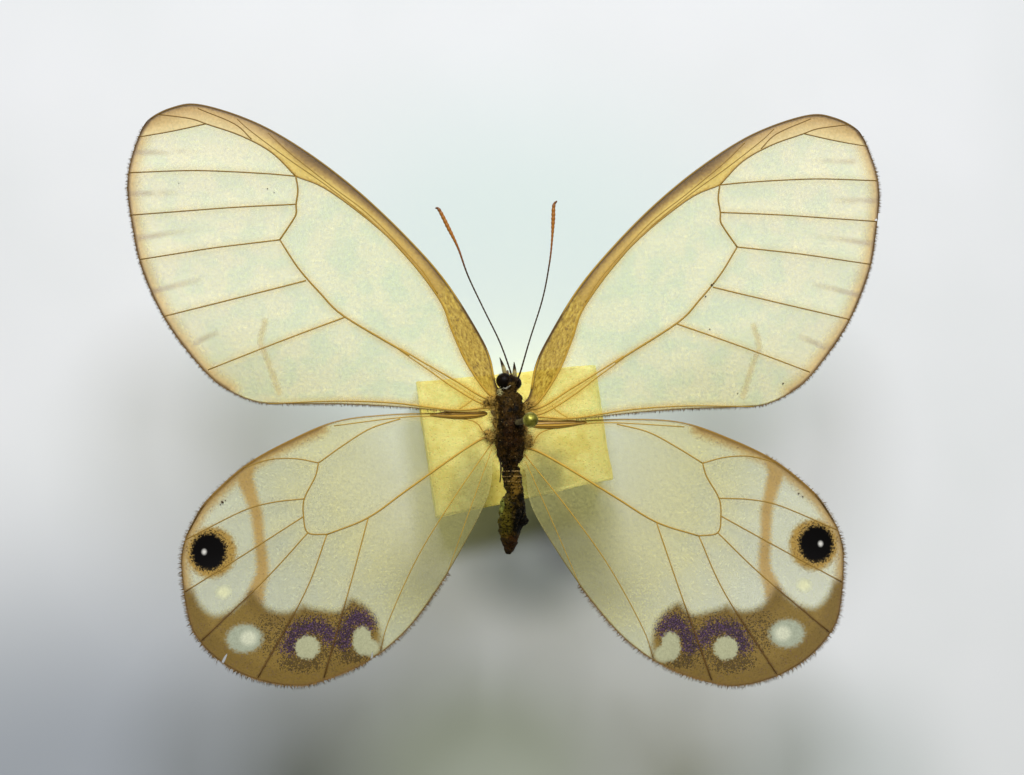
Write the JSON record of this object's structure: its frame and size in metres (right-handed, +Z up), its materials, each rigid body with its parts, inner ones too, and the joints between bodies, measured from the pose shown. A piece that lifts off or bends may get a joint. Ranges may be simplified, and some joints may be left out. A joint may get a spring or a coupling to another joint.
{
  "type": "pinned clearwing butterfly specimen",
  "caption": "Spread butterfly with clear, brown-veined wings and ringed eyespots, held on an upright insect pin in a small yellow foam block.",
  "frame": {"origin": "on the underside of the foam block, straight under the pin", "axes": "+Z up along the pin, +Y towards the butterfly's head, +X towards its right wings"},
  "size_m": [0.0597, 0.046, 0.039],
  "materials": {
    "head": "glossy black eyes and dark brown scales",
    "body": "dried, hairy brown body",
    "wing": "thin clear membrane with golden-brown veins, margins and spots",
    "antenna": "smooth, satin brown",
    "pin": "drawn wire",
    "pin_head": "tarnished, polished bead",
    "foam": "matte closed-cell foam, hand cut"
  },
  "bodies": {
    "root": {"head": "head", "thorax": "body", "abdomen": "body", "left_forewing": "wing", "right_forewing": "wing", "left_hindwing": "wing", "right_hindwing": "wing", "left_antenna": "antenna", "right_antenna": "antenna", "left_palp": "body", "right_palp": "body", "proboscis": "antenna", "left_foreleg": "body", "right_foreleg": "body", "left_midleg": "body", "right_midleg": "body", "left_hindleg": "body", "right_hindleg": "body", "insect_pin": "pin", "pin_head": "pin_head", "foam_block": "foam"}
  },
  "joints": []
}
